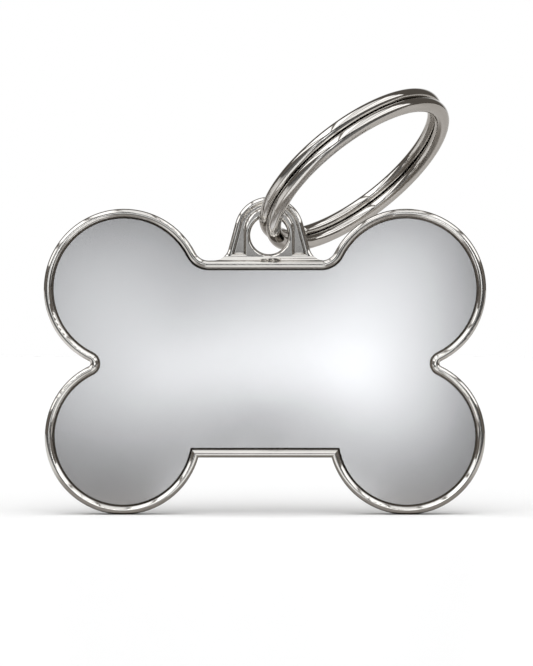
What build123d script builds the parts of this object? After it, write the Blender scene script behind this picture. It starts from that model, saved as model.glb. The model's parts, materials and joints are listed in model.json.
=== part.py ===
from build123d import *
import os
from math import cos, hypot, radians, sin, sqrt, tan

# A bone-shaped pet id tag: a cast tag with a rounded rim and a loop on top, a satin
# face plate bonded into its tray, and a split ring of two turns through the loop.
# Lengths are in millimetres and angles in degrees. X runs along the bone, Y from the
# face to the back, and Z up from the surface that the two lower lobes stand on.

# Bone outline
upper_lobe_radius = 7.36
lower_lobe_radius = 7.17
upper_lobe_spacing = 25.88
lower_lobe_spacing = 26.06
lobe_overlap = 1.0
waist_rise = 5.23
waist_dip = 4.75
shoulder_round = 1.35
notch_round = 0.25

# Section through the tag, from the crown of the rim to the back
tag_thickness = 2.4
rim_width = 0.72
crown_flat = 0.06
back_round = 0.42
plate_recess = 0.4
plate_thickness = 0.6
plate_bevel = 0.06
plate_clearance = 0.12
film_thickness = 0.1
film_margin = 0.4

# Split ring: flattened spring wire in two turns, with a climb from one to the other
ring_diameter = 20.3
wire_width = 1.42
wire_thickness = 0.9
coil_gap = 0.46
climb_angle = 207
climb_span = 24
spans_per_turn = 4
end_bevel = 0.12
gap_samples = 360

# Loop on top of the bone, and the eye in it that the ring runs through
loop_offset = 0.38
eye_clearance = 0.26
eye_sill = 0.6
eye_drop = 0.33
eye_round = 0.3
bead_flat = 0.02
lip_flat = 0.06
loop_step = 0.45
loop_round = 0.3
leg_splay = 15
foot_round = 1.4
ramp_round = 0.55
ramp_bite = 0.03
channel_width = 0.43
channel_wall = 0.06
channel_sill = 0.6
channel_round = 0.18
channel_fillet = 0.14

# How the ring leans, and where it lies in the eye as shares of its room there
ring_lean = 36.9
ring_tilt = 19.9
ring_reach_share = 0.427
ring_lift_share = 0.1

# Sizes and places that follow from those above
lobe_reach = upper_lobe_radius + lower_lobe_radius - lobe_overlap
lobe_shift = (upper_lobe_spacing - lower_lobe_spacing) / 2
lower_lobe = Vector(lower_lobe_spacing / 2, lower_lobe_radius)
upper_lobe = lower_lobe + Vector(lobe_shift, sqrt(lobe_reach**2 - lobe_shift**2))
waist_top = upper_lobe.Y + upper_lobe_radius - waist_dip
rim_round = (rim_width - crown_flat) / 2
tray_depth = plate_recess + plate_thickness + film_thickness
coil_pitch = wire_thickness + coil_gap
coil_radius = (ring_diameter - wire_width) / 2
loop_thickness = tag_thickness - 2 * loop_step
lean = radians(ring_lean)
tilt = radians(ring_tilt)
ring_room = (coil_pitch + wire_thickness) / cos(tilt) + loop_thickness * tan(tilt)
eye_radius = ring_room / 2 + eye_clearance
eye_height = waist_top + eye_sill + eye_radius
bead_width = eye_round + bead_flat + channel_round
loop_rim = channel_round + lip_flat + loop_round
channel_depth = channel_round + channel_wall + channel_fillet
loop_radius = eye_radius + bead_width + channel_width + loop_rim
foot_level = waist_top - eye_height
channel_level = foot_level + channel_sill
root_depth = rim_width / 2

# Planes that face the viewer: local X runs along the bone, local Y up
back_plane = Plane.XZ.offset(-tag_thickness / 2)
crown_plane = Plane.XZ.offset(tag_thickness / 2)
tray_plane = crown_plane.offset(-tray_depth)
film_plane = tray_plane.offset(film_thickness)
eye_plane = Plane((loop_offset, 0, eye_height), x_dir=(1, 0, 0), z_dir=(0, -1, 0))

# Plane of the ring: local X runs along its lean, local Z from the far turn to the near one
lean_way = Vector(cos(lean), 0, sin(lean))
lift_way = Vector(-sin(lean), 0, cos(lean))
ring_axis = Vector(0, -sin(tilt), 0) - lift_way * cos(tilt)
ring_reach = coil_radius + (eye_radius - wire_width / 2) * ring_reach_share
ring_lift = eye_clearance * ring_lift_share
ring_centre = eye_plane.origin + lean_way * ring_reach + lift_way * ring_lift
ring_plane = Plane(ring_centre, x_dir=lean_way, z_dir=ring_axis)


def toward(start, target, distance):
    """The point at a distance from start on the line to target."""
    return start + (target - start).normalized() * distance


def circles_meet(centre_a, radius_a, centre_b, radius_b):
    """The point on the right where two circles, the second above the first, cross."""
    span = centre_b - centre_a
    along = (radius_a**2 - radius_b**2 + span.length**2) / (2 * span.length)
    across = sqrt(radius_a**2 - along**2)
    return toward(centre_a, centre_b, along) + Vector(span.Y, -span.X).normalized() * across


def bone_outline(inset):
    """The edges of the bone's outline, moved inwards by inset."""
    upper_radius = upper_lobe_radius - inset
    lower_radius = lower_lobe_radius - inset
    notch_radius = notch_round + inset
    shoulder_radius = shoulder_round + inset
    notch = circles_meet(
        lower_lobe, lower_lobe_radius + notch_round, upper_lobe, upper_lobe_radius + notch_round
    )
    shoulder_rise = waist_top + shoulder_round - upper_lobe.Y
    shoulder_run = sqrt((upper_lobe_radius + shoulder_round) ** 2 - shoulder_rise**2)
    shoulder = upper_lobe + Vector(-shoulder_run, shoulder_rise)
    corner_drop = lower_lobe.Y - waist_rise - inset
    corner_run = sqrt(lower_radius**2 - corner_drop**2)

    corner = lower_lobe - Vector(corner_run, corner_drop)
    lower_middle = toward(lower_lobe, lower_lobe + Vector(1, -1), lower_radius)
    lower_end = toward(lower_lobe, notch, lower_radius)
    notch_middle = notch - Vector(notch_radius, 0)
    upper_start = toward(upper_lobe, notch, upper_radius)
    upper_middle = toward(upper_lobe, upper_lobe + Vector(1, 1), upper_radius)
    upper_end = toward(upper_lobe, shoulder, upper_radius)
    waist_end = shoulder - Vector(0, shoulder_radius)
    shoulder_middle = toward(shoulder, (upper_end + waist_end) / 2, shoulder_radius)
    with BuildLine() as outline:
        ThreePointArc(corner, lower_middle, lower_end)
        ThreePointArc(lower_end, notch_middle, upper_start)
        ThreePointArc(upper_start, upper_middle, upper_end)
        ThreePointArc(upper_end, shoulder_middle, waist_end)
        mirror(about=Plane.YZ)
        Line(waist_end, Vector(-waist_end.X, waist_end.Y))
        Line(corner, Vector(-corner.X, corner.Y))
    return outline.edges()


def arch_outline(radius, splay, foot):
    """The edges of an arch over the eye, with splayed legs down to foot."""
    side = Vector(cos(radians(splay)), sin(radians(splay))) * radius + Vector(0, eye_drop)
    toe = Vector(side.X + (side.Y - foot) * tan(radians(splay)), foot)
    with BuildLine() as outline:
        ThreePointArc(side, Vector(0, eye_drop + radius), Vector(-side.X, side.Y))
        Polyline(Vector(-side.X, side.Y), Vector(-toe.X, foot), toe, side)
    return outline.edges()


def station(angle, height):
    """A point of the wire's centre line, and the way the wire runs there on a flat turn."""
    outward = Vector(cos(radians(angle)), sin(radians(angle)))
    point = ring_plane.from_local_coords(outward * coil_radius + Vector(0, 0, height))
    way = Vector(-outward.Y, outward.X).transform(ring_plane.reverse_transform, is_direction=True)
    return point, way


def biarc_joint(start, start_way, end, end_way):
    """The point where two tangent arcs between two stations meet, and their way there."""
    chord = end - start
    ways = start_way + end_way
    bend = 4 - ways.dot(ways)
    run = chord.dot(ways)
    handle = (sqrt(run**2 + bend * chord.dot(chord)) - run) / bend
    start_tip = start + start_way * handle
    end_tip = end - end_way * handle
    return (start_tip + end_tip) / 2, end_tip - start_tip


def wire_gap(point_a, point_b):
    """The room between the wire's surfaces at two points of its centre line."""
    apart = point_b - point_a
    wide = wire_width * hypot(apart.X, apart.Y)
    thick = wire_thickness * apart.Z
    return apart.length - hypot(wide, thick) / apart.length


# Loop: an arched lug with a rounded eye, and a channel between two raised beads
with BuildPart() as loop:
    with BuildSketch(eye_plane.offset(-loop_thickness / 2)) as loop_outline:
        make_face(arch_outline(loop_radius, leg_splay, foot_level))
        legs_width = loop_outline.sketch_local.bounding_box().size.X
        with Locations((0, foot_level)):
            Rectangle(legs_width + 4 * foot_round, rim_width, align=(Align.CENTER, Align.MAX))
        leg_feet = loop_outline.vertices().group_by(Axis.Y)[1].sort_by(Axis.X)[1:-1]
        fillet(leg_feet, foot_round)
    extrude(amount=loop_thickness)
    loop_edges = loop.faces().filter_by(Plane.XZ).edges()
    fillet(loop_edges.filter_by(lambda edge: edge.center().Z > waist_top), loop_round)
    with Locations(eye_plane.location):
        Hole(eye_radius)
    eye_wall = loop.faces(Select.LAST).filter_by(GeomType.CYLINDER)
    fillet(eye_wall.edges().filter_by(GeomType.CIRCLE), eye_round)
    with BuildSketch(eye_plane.offset(loop_thickness / 2)):
        make_face(arch_outline(loop_radius - loop_rim, leg_splay, channel_level))
        make_face(arch_outline(eye_radius + bead_width, 0, channel_level), mode=Mode.SUBTRACT)
    extrude(amount=-channel_depth, mode=Mode.SUBTRACT)
    loop_front = loop.faces().filter_by(Plane.XZ).sort_by(Axis.Y)[0]
    channel_edges = loop_front.inner_wires().sort_by(SortBy.LENGTH)[-1].edges()
    fillet(channel_edges, channel_round)
    channel_floor = loop.faces().filter_by(Plane.XZ).sort_by(Axis.Y)[1]
    fillet(channel_floor.edges(), channel_fillet)

# Ramp: the hollow sweep from the front of the loop down to the round of the rim
ramp_front = -loop_thickness / 2
round_centre = Vector(rim_round - tag_thickness / 2, waist_top - rim_round)
ramp_out = ramp_front - ramp_round - round_centre.X
ramp_up = sqrt((ramp_round + rim_round - ramp_bite) ** 2 - ramp_out**2)
ramp_centre = round_centre + Vector(ramp_out, ramp_up)
ramp_top = ramp_centre + Vector(ramp_round, 0)
ramp_foot = toward(ramp_centre, round_centre, ramp_round)
ramp_middle = toward(ramp_centre, (ramp_top + ramp_foot) / 2, ramp_round)
with BuildPart() as ramp:
    with BuildSketch(Plane.YZ.offset(loop_offset)):
        with BuildLine():
            ThreePointArc(ramp_foot, ramp_middle, ramp_top)
            Polyline(ramp_top, Vector(ramp_front, round_centre.Y), round_centre, ramp_foot)
        make_face()
    extrude(amount=legs_width / 2 + foot_round, both=True)
    with BuildSketch(crown_plane):
        add(loop_outline.sketch_local.moved(Location((loop_offset, eye_height))))
    extrude(amount=-tag_thickness, mode=Mode.INTERSECT)
    with Locations(eye_plane.location):
        Hole(eye_radius + eye_round)

# Bone: a tray for the plate inside a rounded rim
with BuildPart() as bone:
    with BuildSketch(back_plane):
        make_face(bone_outline(0))
    extrude(amount=tag_thickness)
    with BuildSketch(crown_plane):
        make_face(bone_outline(rim_width))
    extrude(amount=-tray_depth, mode=Mode.SUBTRACT)
    flat_faces = bone.faces().filter_by(Plane.XZ).sort_by(Axis.Y)
    fillet(flat_faces[0].edges(), rim_round)
    fillet(flat_faces[-1].edges(), back_round)

# Tag: the loop and its ramp, with their roots kept inside the rim, cast on the bone
with BuildPart() as tag_frame:
    add(loop.part)
    add(ramp.part)
    with BuildSketch(back_plane):
        make_face(bone_outline(root_depth))
    extrude(amount=tag_thickness, mode=Mode.SUBTRACT)
    add(bone.part)

# Bonding film: the thin adhesive sheet between the tray and the plate
with BuildPart() as bonding_film:
    with BuildSketch(tray_plane):
        make_face(bone_outline(rim_width + plate_clearance + film_margin))
    extrude(amount=film_thickness)

# Face plate: the satin inlay, its front edge bevelled
with BuildPart() as face_plate:
    with BuildSketch(film_plane):
        make_face(bone_outline(rim_width + plate_clearance))
    extrude(amount=plate_thickness)
    chamfer(face_plate.faces().sort_by(Axis.Y)[0].edges(), plate_bevel)

# Split ring: one wire that runs a flat turn, climbs, and runs the next turn beside it
turn_span = 360 - climb_span
first_angle = climb_angle + climb_span / 2
stations = [
    station(first_angle + 360 * layer + turn_span * span / spans_per_turn, coil_pitch * (layer - 0.5))
    for layer in range(2)
    for span in range(spans_per_turn + 1)
]
with BuildLine() as ring_path:
    for (start, start_way), (end, end_way) in zip(stations, stations[1:]):
        joint, joint_way = biarc_joint(start, start_way, end, end_way)
        TangentArc(start, joint, tangent=start_way)
        TangentArc(joint, end, tangent=joint_way)
wire_start, wire_way = stations[0]
ring_wire = ring_path.wire()
with BuildPart() as split_ring:
    with BuildSketch(Plane(wire_start, x_dir=wire_way.cross(ring_axis), z_dir=wire_way)):
        Ellipse(wire_width / 2, wire_thickness / 2)
    sweep(path=ring_wire)
    chamfer(split_ring.faces().filter_by(GeomType.PLANE).edges(), end_bevel)

wire_points = [ring_plane.to_local_coords(ring_wire @ (i / gap_samples)) for i in range(gap_samples + 1)]
half_turn = gap_samples // 4
least_gap = min(
    wire_gap(point, other)
    for place, point in enumerate(wire_points)
    for other in wire_points[place + half_turn :]
)
print(f"split_ring: least gap of the wire to itself {least_gap:.2f} mm")

os.makedirs("parts", exist_ok=True)
tag_frame.part.label = "tag_frame"
export_step(tag_frame.part, "parts/tag_frame.step")
bonding_film.part.label = "bonding_film"
export_step(bonding_film.part, "parts/bonding_film.step")
face_plate.part.label = "face_plate"
export_step(face_plate.part, "parts/face_plate.step")
split_ring.part.label = "split_ring"
export_step(split_ring.part, "parts/split_ring.step")
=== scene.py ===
import json
from math import cos, degrees, pi, radians, sin

import bpy
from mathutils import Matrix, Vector


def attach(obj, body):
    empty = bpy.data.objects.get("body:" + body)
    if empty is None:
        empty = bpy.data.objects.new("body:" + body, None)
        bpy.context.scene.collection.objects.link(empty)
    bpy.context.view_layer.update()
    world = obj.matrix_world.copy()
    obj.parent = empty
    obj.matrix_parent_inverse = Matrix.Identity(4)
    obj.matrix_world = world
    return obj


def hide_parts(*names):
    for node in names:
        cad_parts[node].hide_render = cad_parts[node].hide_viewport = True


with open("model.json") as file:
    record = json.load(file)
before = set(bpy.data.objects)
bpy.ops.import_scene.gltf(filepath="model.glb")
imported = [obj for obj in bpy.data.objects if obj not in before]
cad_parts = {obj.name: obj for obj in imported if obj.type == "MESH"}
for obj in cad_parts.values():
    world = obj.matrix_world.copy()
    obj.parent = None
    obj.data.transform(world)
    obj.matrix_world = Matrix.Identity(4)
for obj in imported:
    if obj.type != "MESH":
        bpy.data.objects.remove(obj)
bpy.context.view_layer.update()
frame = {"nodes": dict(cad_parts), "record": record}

# A bone-shaped pet id tag of polished nickel with a satin face plate and a split ring,
# standing on a pale floor in a white studio. Lengths are in metres, angles in degrees.
MM = 0.001
WHITE = (1, 1, 1, 1)

# The turn that points a lamp or the camera along Y, in radians
ALONG_Y = (pi / 2, 0, 0)

# Photograph: its size in pixels, its pixels to a metre and the plane where these hold, and the
# camera that shows the tag the same way, with its sensor in Blender's millimetres
PHOTO_WIDTH = 533
PHOTO_HEIGHT = 666
PHOTO_SCALE = 10.91 / MM
FACE_PLANE = -1.15 * MM
CAMERA_PLACE = Vector((0.14, -300, 16.66)) * MM
CAMERA_CLIP = 1 * MM
SENSOR = 36

# Split ring: the same route as the solid's, with a thicker wire so that its turns nearly touch
RING_DIAMETER = 20.3 * MM
WIRE_WIDTH = 1.42 * MM
STACK_THICKNESS = 2.26 * MM
WIRE_THICKNESS = 1.12 * MM
CLIMB_ANGLE = 207
CLIMB_SPAN = 24
STEP_ANGLE = 2
WIRE_SIDES = 32
WIRE_SQUARENESS = 2.2
END_BEVEL = 0.1 * MM

# Metal: its clouds, with the share of the colour that the dull ones keep, its grain, the range in
# which the two together roughen it, and the painted shade in crevices, with the reach of their walls
DULL_SHARE = 0.95
CLOUD_RANGE = (0.3, 0.7)
CLOUD_DETAIL = 3
GRAIN_DETAIL = 2
BLEND_RANGE = (0.7, 1.3)
# Painted shade: the dark brown that crevices, seams and the gap between the ring's turns take on
CREVICE_SHADE = (0.07, 0.055, 0.04, 1)
CREVICE_REACH = 0.35 * MM
CREVICE_SAMPLES = 8

# Bonding film: its two milky tints, the scale and detail of its streaks, and its roughness
FILM_TINTS = [(0.8, 0.8, 0.76, 1), (0.88, 0.88, 0.85, 1)]
FILM_SCALE = 900
FILM_DETAIL = 4
FILM_ROUGHNESS = 0.6

# Studio as it lights the floor: a dim dome, and a soft box as slopes from the floor, which a
# least height keeps in bounds near the horizon
DOME = (0.17, 0.17, 0.17, 1)
BOX_ACROSS = (-1.0, 1.0)
BOX_DEPTH = (-3.0, 0.4)
BOX_BLUR = 0.05
BOX_LIGHT = (2.0, 2.0, 2.0, 1)
LEAST_HEIGHT = 0.05

# Studio as the metal mirrors it: a brown-grey room, and what is seen in it by direction:
# the way to its middle, the angles at which it is full and gone, and its light
ROOM = (0.15, 0.135, 0.12, 1)
PANELS = [
    ((0, -1, 0), 12, 30, (0.02, 0.02, 0.02, 1)),
    ((0, 1, 0), 84, 96, (0.1, 0.09, 0.08, 1)),
    ((0, 1, 0), 14, 40, (0.9, 0.9, 0.9, 1)),
]

# Panes of a window overhead, as slopes from the tag: left, right, front, back and light
PANES = [
    (-3.2, -1.7, -4.5, -0.05, 1.5),
    (-1.45, -0.62, -4.5, 0.05, 1.8),
    (-0.52, -0.16, -4.5, 0.05, 1.6),
    (-0.1, 0.3, -4.5, -0.05, 1.1),
    (0.4, 0.95, -4.5, -0.05, 1.5),
    (1.1, 2.6, -4.5, -0.05, 1.5),
]
PANE_BLUR = 0.04

# Lamps in front: place and size in millimetres, and light. Each lies at its own depth, so that
# none hides another
LAMPS = {
    "front_middle": ((1.3, -90, 18.3), (19, 10.1), 1.01),
    "front_strip": ((-0.1, -87, 11.9), (26.8, 3.5), 2.75),
    "front_right": ((15.9, -88, 16.5), (13.4, 28), 1.25),
    "front_left": ((-19.6, -89, 16.5), (17, 25.3), 0.95),
    "front_top": ((0.5, -86, 29), (9, 7), 0.45),
}
LAMP_TINT = (0.97, 0.985, 1)

# Floor: its reach, colour and gloss, and the painted reflection shade it shows only in the tag's
# reflections: the dim colour by the tag, the paler ones to its left and right, the dark one ahead
# and the grey one behind, with the places where those begin and are full, and a pale patch in front
FLOOR_REACH = 2.0
PALE = (0.96, 0.96, 0.96, 1)
GLOSS = (0.95, 0.95, 0.95, 1)
GLOSS_ROUGHNESS = 0.22
GLOSS_SHARE = 0.08
REFLECTION_SHADE = (0.25, 0.23, 0.21, 1)
REFLECTION_TONES = [
    ("X", -20 * MM, -30 * MM, (0.75, 0.74, 0.73, 1)),
    ("X", 20 * MM, 30 * MM, (0.55, 0.53, 0.51, 1)),
    ("Y", -15 * MM, -45 * MM, (0.06, 0.06, 0.06, 1)),
    ("Y", 25 * MM, 60 * MM, (0.47, 0.45, 0.43, 1)),
]
REFLECTION_PATCH = [(-10 * MM, 10 * MM), (-70 * MM, -10 * MM)]
REFLECTION_PATCH_BLUR = 2 * MM


def new_object(name, vertices, faces):
    """A mesh object with smooth faces, linked to the scene."""
    mesh = bpy.data.meshes.new(name)
    mesh.from_pydata(vertices, [], faces)
    mesh.polygons.foreach_set("use_smooth", [True] * len(mesh.polygons))
    piece = bpy.data.objects.new(name, mesh)
    bpy.context.scene.collection.objects.link(piece)
    return piece


def smoothstep(value):
    """An eased step from 0 to 1."""
    value = min(max(value, 0), 1)
    return value * value * (3 - 2 * value)


def rounded(value, power):
    """The signed power of a cosine or sine, for a superellipse."""
    return abs(value) ** power * (1 if value >= 0 else -1)


# Nodes


class Nodes:
    """A short way to add linked nodes to one node tree."""

    def __init__(self, owner):
        owner.use_nodes = True
        self.tree = owner.node_tree

    def add(self, kind, inputs=None, **settings):
        """A node with its settings, and its inputs linked or set."""
        node = self.tree.nodes.new(kind)
        for key, value in settings.items():
            setattr(node, key, value)
        for key, value in (inputs or {}).items():
            socket = node.inputs[key]
            if isinstance(value, bpy.types.NodeSocket):
                self.tree.links.new(value, socket)
            else:
                socket.default_value = value
        return node

    def link(self, source, target):
        """Join an output to an input."""
        self.tree.links.new(source, target)

    def noise(self, place, scale, detail):
        """A cloudy value between 0 and 1."""
        inputs = {"Vector": place, "Scale": scale, "Detail": detail}
        return self.add("ShaderNodeTexNoise", inputs).outputs["Fac"]

    def math(self, operation, first, second):
        """The result of an operation on two values."""
        return self.add("ShaderNodeMath", {0: first, 1: second}, operation=operation).outputs[0]

    def ranged(self, value, limits, results=(0, 1), easing="LINEAR"):
        """The value carried over from its limits to the results, and held past them."""
        inputs = {"Value": value, "From Min": limits[0], "From Max": limits[1]}
        inputs |= {"To Min": results[0], "To Max": results[1]}
        return self.add("ShaderNodeMapRange", inputs, interpolation_type=easing).outputs[0]

    def eased(self, value, begin, full):
        """0 up to begin and 1 from full, with an eased step between them."""
        return self.ranged(value, (begin, full), easing="SMOOTHSTEP")

    def window(self, value, low, high, blur):
        """1 between low and high and 0 outside, with soft edges."""
        rise = self.eased(value, low - blur, low + blur)
        fall = self.eased(value, high + blur, high - blur)
        return self.math("MULTIPLY", rise, fall)

    def pane(self, across, depth, sides, ends, blur):
        """1 in the rectangle between two sides and two ends, with soft edges."""
        return self.math("MULTIPLY", self.window(across, *sides, blur), self.window(depth, *ends, blur))

    def mixed(self, factor, first, second):
        """The first colour, and the second where the factor is 1."""
        inputs = {"Factor": factor, "A": first, "B": second}
        return self.add("ShaderNodeMix", inputs, data_type="RGBA").outputs["Result"]

    def ramp(self, value, colours, limits=(0, 1)):
        """The first of two colours up to the first limit, and the second from the other."""
        node = self.add("ShaderNodeValToRGB", {"Fac": value})
        for element, colour, limit in zip(node.color_ramp.elements, colours, limits):
            element.position = limit
            element.color = colour
        return node.outputs["Color"]


# Materials


def metal(
    name, colour, roughness, grains, bump, crevice, coordinates="Object", stretch=(1, 1, 1), alone=False
):
    """A metal whose colour, roughness and surface vary a little, at the scales in grains.

    It has painted shade, a dark colour in place of its own, where less of the view than the first
    share in crevice is open, and keeps its own colour past the second. With alone, only the piece
    itself closes its view.
    """
    material = bpy.data.materials.new(name)
    nodes = Nodes(material)
    shader = nodes.tree.nodes["Principled BSDF"]
    shader.inputs["Metallic"].default_value = 1
    place = nodes.add("ShaderNodeTexCoord").outputs[coordinates]
    clouds = nodes.noise(place, grains[0], CLOUD_DETAIL)
    stretched = nodes.add("ShaderNodeMapping", {"Vector": place, "Scale": stretch}).outputs[0]
    grain = nodes.noise(stretched, grains[1], GRAIN_DETAIL)
    dull = [part * DULL_SHARE for part in colour]
    tint = nodes.ramp(clouds, [(*dull, 1), (*colour, 1)], CLOUD_RANGE)
    # Painted shade: where nearby walls close the view, the colour turns to the dark crevice shade
    view = nodes.add(
        "ShaderNodeAmbientOcclusion", {"Distance": CREVICE_REACH}, samples=CREVICE_SAMPLES, only_local=alone
    )
    unshaded = nodes.ranged(view.outputs["AO"], crevice)
    nodes.link(nodes.mixed(unshaded, CREVICE_SHADE, tint), shader.inputs["Base Color"])
    blend = nodes.math("ADD", clouds, grain)
    nodes.link(nodes.ranged(blend, BLEND_RANGE, roughness), shader.inputs["Roughness"])
    dents = nodes.add("ShaderNodeBump", {"Height": blend, "Strength": bump[0], "Distance": bump[1]})
    nodes.link(dents.outputs[0], shader.inputs["Normal"])
    return material


def adhesive_material():
    """Milky bonding film, with faint cloudy streaks."""
    material = bpy.data.materials.new("adhesive")
    nodes = Nodes(material)
    shader = nodes.tree.nodes["Principled BSDF"]
    shader.inputs["Roughness"].default_value = FILM_ROUGHNESS
    place = nodes.add("ShaderNodeTexCoord").outputs["Object"]
    clouds = nodes.noise(place, FILM_SCALE, FILM_DETAIL)
    nodes.link(nodes.ramp(clouds, FILM_TINTS), shader.inputs["Base Color"])
    return material


nickel = metal(
    "polished_nickel",
    colour=(0.74, 0.72, 0.69),
    roughness=(0.06, 0.11),
    grains=(350, 4000),
    bump=(0.003, 0.05 * MM),
    crevice=(0.35, 0.75),
)
satin = metal(
    "satin_plate",
    colour=(0.8, 0.8, 0.81),
    roughness=(0.2, 0.225),
    grains=(150, 9000),
    bump=(0.04, 0.02 * MM),
    crevice=(0.3, 0.6),
)
wire_nickel = metal(
    "ring_wire",
    colour=(0.73, 0.71, 0.68),
    roughness=(0.04, 0.08),
    grains=(30, 9),
    bump=(0.001, 0.05 * MM),
    crevice=(0.25, 0.5),
    coordinates="UV",
    stretch=(1, 14, 1),
    alone=True,
)


def dress(node, material):
    """Give a solid its finish in place of the plain one it came with."""
    materials = frame["nodes"][node].data.materials
    materials.clear()
    materials.append(material)


dress("tag_frame", nickel)
dress("face_plate", satin)
dress("bonding_film", adhesive_material())


# Split ring


def make_split_ring(centre, axis):
    """One wire that runs a flat turn, climbs, and runs the next turn beside it."""
    lean_way = axis.cross(Vector((0, 1, 0))).normalized()
    side_way = axis.cross(lean_way)
    coil_radius = (RING_DIAMETER - WIRE_WIDTH) / 2
    pitch = STACK_THICKNESS - WIRE_THICKNESS
    turn_span = 360 - CLIMB_SPAN
    start = CLIMB_ANGLE + CLIMB_SPAN / 2
    steps = round((2 * turn_span + CLIMB_SPAN) / STEP_ANGLE)
    bevel_share = 1 - 2 * END_BEVEL / WIRE_THICKNESS
    bevel_angle = degrees(END_BEVEL / coil_radius)
    rings = [(step * STEP_ANGLE, 1) for step in range(steps + 1)]
    rings[0] = (0, bevel_share)
    rings[-1] = (steps * STEP_ANGLE, bevel_share)
    rings.insert(1, (bevel_angle, 1))
    rings.insert(-1, (steps * STEP_ANGLE - bevel_angle, 1))
    vertices, faces = [], []
    for passed, share in rings:
        angle = radians(start + passed)
        outward = lean_way * cos(angle) + side_way * sin(angle)
        height = pitch * (smoothstep((passed - turn_span) / CLIMB_SPAN) - 0.5)
        middle = centre + outward * coil_radius + axis * height
        for side in range(WIRE_SIDES):
            spin = 2 * pi * side / WIRE_SIDES
            across = rounded(cos(spin), 2 / WIRE_SQUARENESS) * WIRE_WIDTH / 2 * share
            along = rounded(sin(spin), 2 / WIRE_SQUARENESS) * WIRE_THICKNESS / 2 * share
            vertices.append(middle + outward * across + axis * along)
    for row in range(len(rings) - 1):
        for side in range(WIRE_SIDES):
            here = row * WIRE_SIDES + side
            beside = row * WIRE_SIDES + (side + 1) % WIRE_SIDES
            faces.append((here, here + WIRE_SIDES, beside + WIRE_SIDES, beside))
    faces.append(tuple(range(WIRE_SIDES)))
    faces.append(tuple(reversed(range(len(vertices) - WIRE_SIDES, len(vertices)))))
    ring = new_object("split_ring_wire", vertices, faces)
    for cap in ring.data.polygons[-2:]:
        cap.use_smooth = False
    unwrap_wire(ring, len(rings))
    return ring


def unwrap_wire(ring, rows):
    """Lay the wire out flat: U runs along it, in turns, and V round it."""
    layer = ring.data.uv_layers.new(name="wire")
    for polygon in ring.data.polygons:
        for loop in polygon.loop_indices:
            vertex = ring.data.loops[loop].vertex_index
            row, side = divmod(vertex, WIRE_SIDES)
            wrapped = side == 0 and polygon.index % WIRE_SIDES == WIRE_SIDES - 1
            layer.data[loop].uv = (2 * row / rows, (WIRE_SIDES if wrapped else side) / WIRE_SIDES)


mounts = {mount["name"]: mount for mount in frame["record"]["mounts"]}
ring_mount = mounts["collar_ring"]
ring = make_split_ring(Vector(ring_mount["pos_m"]), Vector(ring_mount["axis"]).normalized())
ring.data.materials.append(wire_nickel)
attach(ring, "ring")
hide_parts("split_ring")


# Stage: floor, studio world, lamps and camera


def make_floor():
    """A pale floor that keeps the tag's shadow.

    In the tag's own reflections it has painted shade: it is dim by the tag, and differs on each side of it.
    """
    corners = [(-1, -1), (1, -1), (1, 1), (-1, 1)]
    floor = new_object("floor", [(x * FLOOR_REACH, y * FLOOR_REACH, 0) for x, y in corners], [(0, 1, 2, 3)])
    material = bpy.data.materials.new("floor")
    nodes = Nodes(material)
    nodes.tree.nodes.remove(nodes.tree.nodes["Principled BSDF"])
    place = nodes.add("ShaderNodeTexCoord").outputs["Object"]
    part = nodes.add("ShaderNodeSeparateXYZ", {0: place}).outputs
    # Painted shade and light, seen only in the tag's reflections: dim by the tag, other tones around it, a
    # pale patch in front
    painted_reflection = REFLECTION_SHADE
    for axis, begin, full, colour in REFLECTION_TONES:
        painted_reflection = nodes.mixed(nodes.eased(part[axis], begin, full), painted_reflection, colour)
    painted_reflection = nodes.mixed(nodes.pane(part["X"], part["Y"], *REFLECTION_PATCH, REFLECTION_PATCH_BLUR), painted_reflection, PALE)
    mirrored = nodes.add("ShaderNodeLightPath").outputs["Is Glossy Ray"]
    matt = nodes.add("ShaderNodeBsdfDiffuse", {"Color": nodes.mixed(mirrored, PALE, painted_reflection)})
    gloss = nodes.add("ShaderNodeBsdfGlossy", {"Color": GLOSS, "Roughness": GLOSS_ROUGHNESS})
    surface = nodes.add("ShaderNodeMixShader", {0: GLOSS_SHARE, 1: matt.outputs[0], 2: gloss.outputs[0]})
    nodes.link(surface.outputs[0], nodes.tree.nodes["Material Output"].inputs["Surface"])
    floor.data.materials.append(material)


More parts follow.
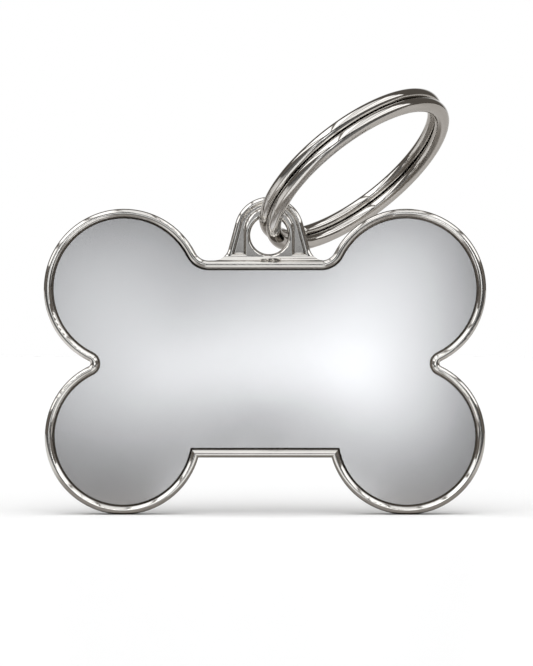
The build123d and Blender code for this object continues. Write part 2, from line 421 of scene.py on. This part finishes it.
def make_world():
    """A white studio: a soft box lights the floor, and the metal mirrors a dim room with a window."""
    world = bpy.data.worlds.new("studio")
    bpy.context.scene.world = world
    nodes = Nodes(world)
    way = nodes.add("ShaderNodeTexCoord").outputs["Generated"]
    part = nodes.add("ShaderNodeSeparateXYZ", {0: way}).outputs
    height = nodes.math("MAXIMUM", part["Z"], LEAST_HEIGHT)
    across, depth = [nodes.math("DIVIDE", part[axis], height) for axis in "XY"]

    light = nodes.mixed(nodes.pane(across, depth, BOX_ACROSS, BOX_DEPTH, BOX_BLUR), DOME, BOX_LIGHT)

    room = ROOM
    for axis, full, gone, colour in PANELS:
        facing = nodes.add("ShaderNodeVectorMath", {0: way, 1: axis}, operation="DOT_PRODUCT")
        panel = nodes.eased(facing.outputs["Value"], cos(radians(gone)), cos(radians(full)))
        room = nodes.mixed(panel, room, colour)
    for left, right, front, back, strength in PANES:
        pane = nodes.pane(across, depth, (left, right), (front, back), PANE_BLUR)
        room = nodes.mixed(pane, room, (strength, strength, strength, 1))

    path = nodes.add("ShaderNodeLightPath").outputs
    seen = nodes.mixed(path["Is Glossy Ray"], light, room)
    seen = nodes.mixed(path["Is Camera Ray"], seen, WHITE)
    nodes.link(seen, nodes.tree.nodes["Background"].inputs["Color"])


def make_lamp(name, place, size, radiance):
    """A soft rectangular lamp that faces the tag and isn't seen itself."""
    light = bpy.data.lights.new(name, "AREA")
    light.shape = "RECTANGLE"
    light.size, light.size_y = [side * MM for side in size]
    light.energy = radiance * pi * light.size * light.size_y
    light.color = LAMP_TINT
    lamp = bpy.data.objects.new(name, light)
    lamp.location = Vector(place) * MM
    lamp.rotation_euler = ALONG_Y
    lamp.visible_camera = False
    lamp.visible_diffuse = False
    bpy.context.scene.collection.objects.link(lamp)


def make_camera():
    """The camera of the photograph, level and square to the face plate."""
    camera = bpy.data.cameras.new("camera")
    camera.sensor_width = SENSOR
    distance = FACE_PLANE - CAMERA_PLACE.y
    camera.lens = SENSOR * distance * PHOTO_SCALE / max(PHOTO_WIDTH, PHOTO_HEIGHT)
    camera.clip_start = CAMERA_CLIP
    viewer = bpy.data.objects.new("camera", camera)
    viewer.location = CAMERA_PLACE
    viewer.rotation_euler = ALONG_Y
    bpy.context.scene.collection.objects.link(viewer)
    bpy.context.scene.camera = viewer


make_floor()
make_world()
for name, lamp in LAMPS.items():
    make_lamp(name, *lamp)
make_camera()

bpy.context.scene.view_settings.view_transform = "Standard"
